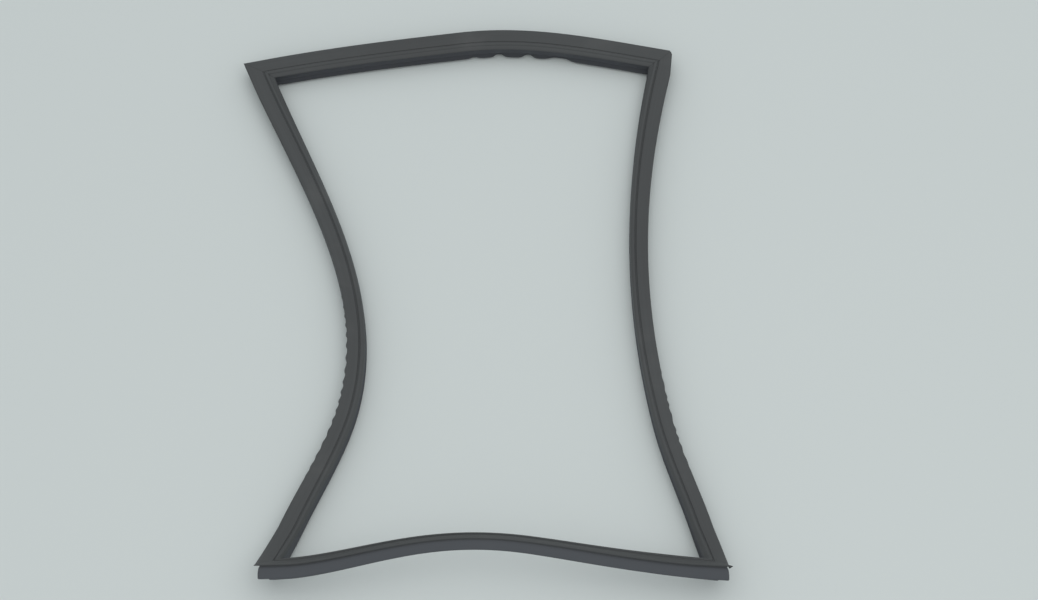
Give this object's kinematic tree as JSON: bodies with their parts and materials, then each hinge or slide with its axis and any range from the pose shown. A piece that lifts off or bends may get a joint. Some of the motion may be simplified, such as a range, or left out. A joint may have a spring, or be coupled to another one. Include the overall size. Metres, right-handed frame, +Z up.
{
  "type": "refrigerator door gasket",
  "caption": "Soft welded sealing loop for a refrigerator door, with magnetic strips in its pockets, lying loose and bent as taken off the door.",
  "frame": {"origin": "under the middle of the loop, on the surface that it lies on", "axes": "+Z up out of the sealing face, +Y from the curled lower leg to the upper leg, +X to the right seen from above"},
  "size_m": [0.5568, 0.7326, 0.0642],
  "materials": {
    "gasket": "satin soft vinyl",
    "magnetic_strip": "matte bonded ferrite"
  },
  "bodies": {
    "root": {"gasket": "gasket", "magnetic_strip_bottom": "magnetic_strip", "magnetic_strip_right": "magnetic_strip", "magnetic_strip_top": "magnetic_strip", "magnetic_strip_left": "magnetic_strip"}
  },
  "joints": []
}
